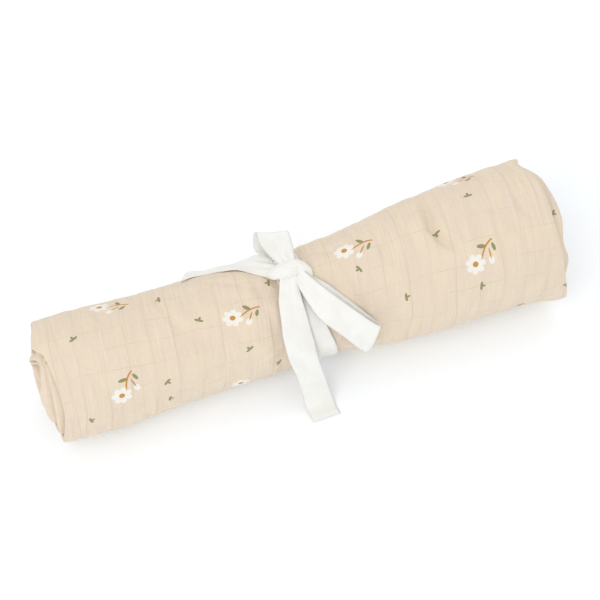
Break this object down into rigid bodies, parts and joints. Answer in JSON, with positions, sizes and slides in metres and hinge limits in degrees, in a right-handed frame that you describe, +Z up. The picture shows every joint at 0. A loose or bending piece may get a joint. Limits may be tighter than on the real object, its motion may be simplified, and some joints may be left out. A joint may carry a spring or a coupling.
{
  "type": "swaddle blanket",
  "caption": "Muslin swaddle blanket folded to a strip, rolled up and tied round its middle with a plain ribbon bow.",
  "frame": {"origin": "middle of the footprint, on the surface that the roll rests on", "axes": "+Z up, +X along the roll towards its fatter end, +Y towards the back, away from the ribbon's loose front end"},
  "size_m": [0.3178, 0.1016, 0.0857],
  "materials": {
    "muslin": "matt double-gauze cotton, warm beige, small scattered print",
    "ribbon": "soft white woven ribbon, faint sheen"
  },
  "bodies": {
    "root": {"blanket_roll": "muslin", "ribbon_band": "ribbon", "ribbon_knot": "ribbon", "ribbon_front_tail": "ribbon", "ribbon_back_tail": "ribbon", "ribbon_flat_loop": "ribbon", "ribbon_standing_loop": "ribbon"}
  },
  "joints": []
}
